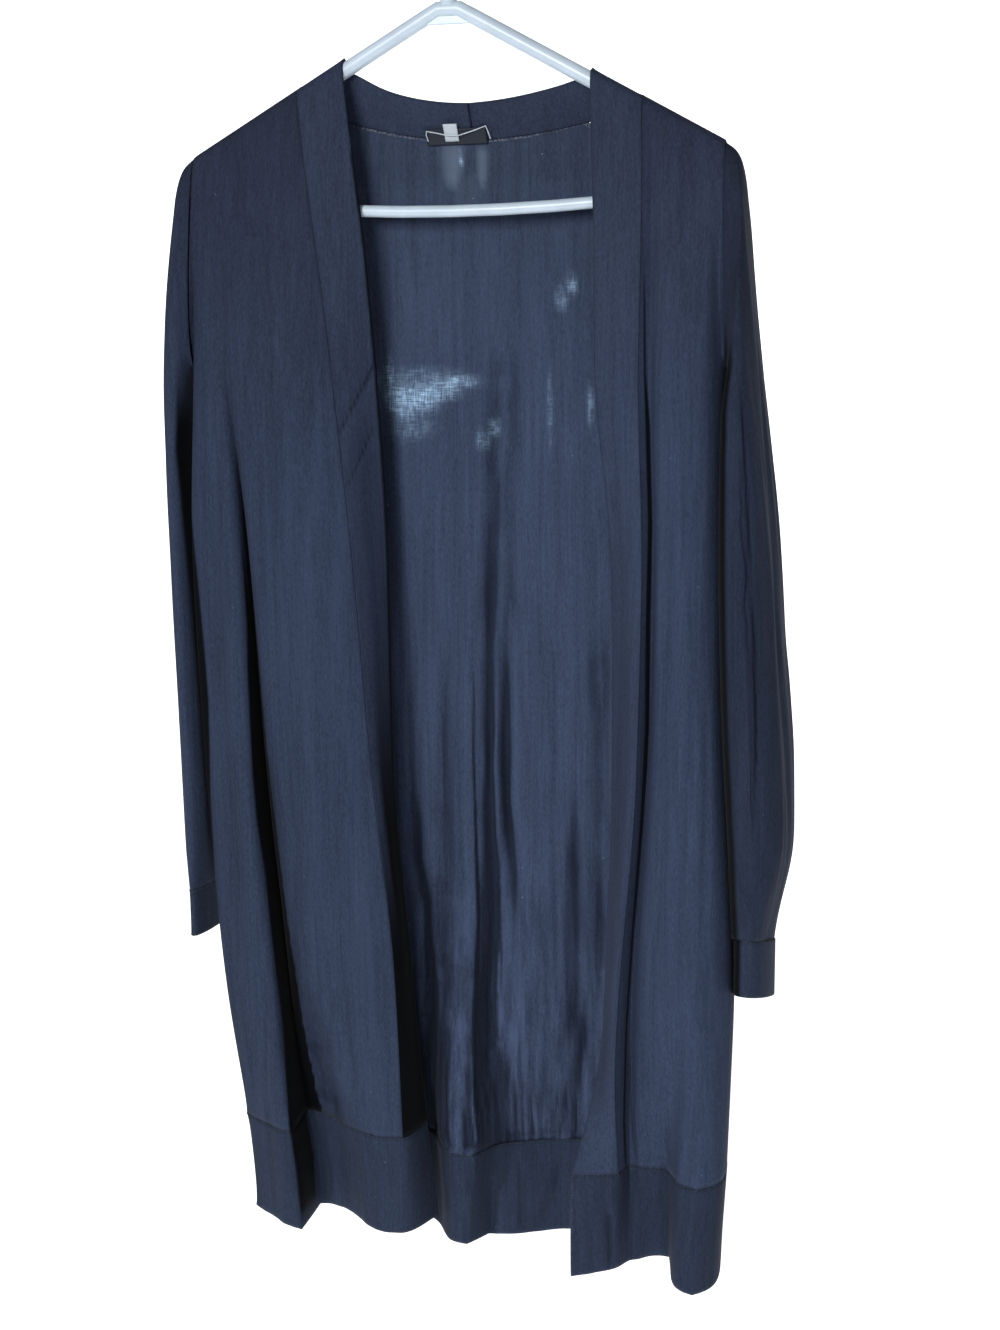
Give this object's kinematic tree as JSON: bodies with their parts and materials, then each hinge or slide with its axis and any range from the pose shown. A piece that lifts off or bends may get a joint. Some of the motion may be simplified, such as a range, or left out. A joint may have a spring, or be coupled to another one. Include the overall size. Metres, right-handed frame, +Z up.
{
  "type": "long open-front knit cardigan on a tubular hanger",
  "caption": "Long fine-knit duster cardigan with an open front, wide front, neck and hem bands and hanging sleeves, on a plain white tubular hanger that holds it.",
  "frame": {"origin": "inner crown of the hanger's hook, where a rail touches it", "axes": "+Z up, -Y the front of the garment, +X to the right as seen from the front; the hanger lies in the plane y = 0"},
  "size_m": [0.4905, 0.1362, 1.042],
  "materials": {
    "knit": "fine dark blue-grey knit, slightly sheer",
    "plastic": "white moulded tube",
    "label": "bare woven label",
    "tab": "bare white woven tab"
  },
  "bodies": {
    "root": {"hanger": "plastic", "back_panel": "knit", "back_hem_band": "knit", "left_front_panel": "knit", "left_front_band": "knit", "left_hem_band": "knit", "right_front_panel": "knit", "right_front_band": "knit", "right_hem_band": "knit", "left_sleeve": "knit", "right_sleeve": "knit", "left_cuff": "knit", "right_cuff": "knit", "neck_label": "label", "size_tab": "tab"}
  },
  "joints": []
}
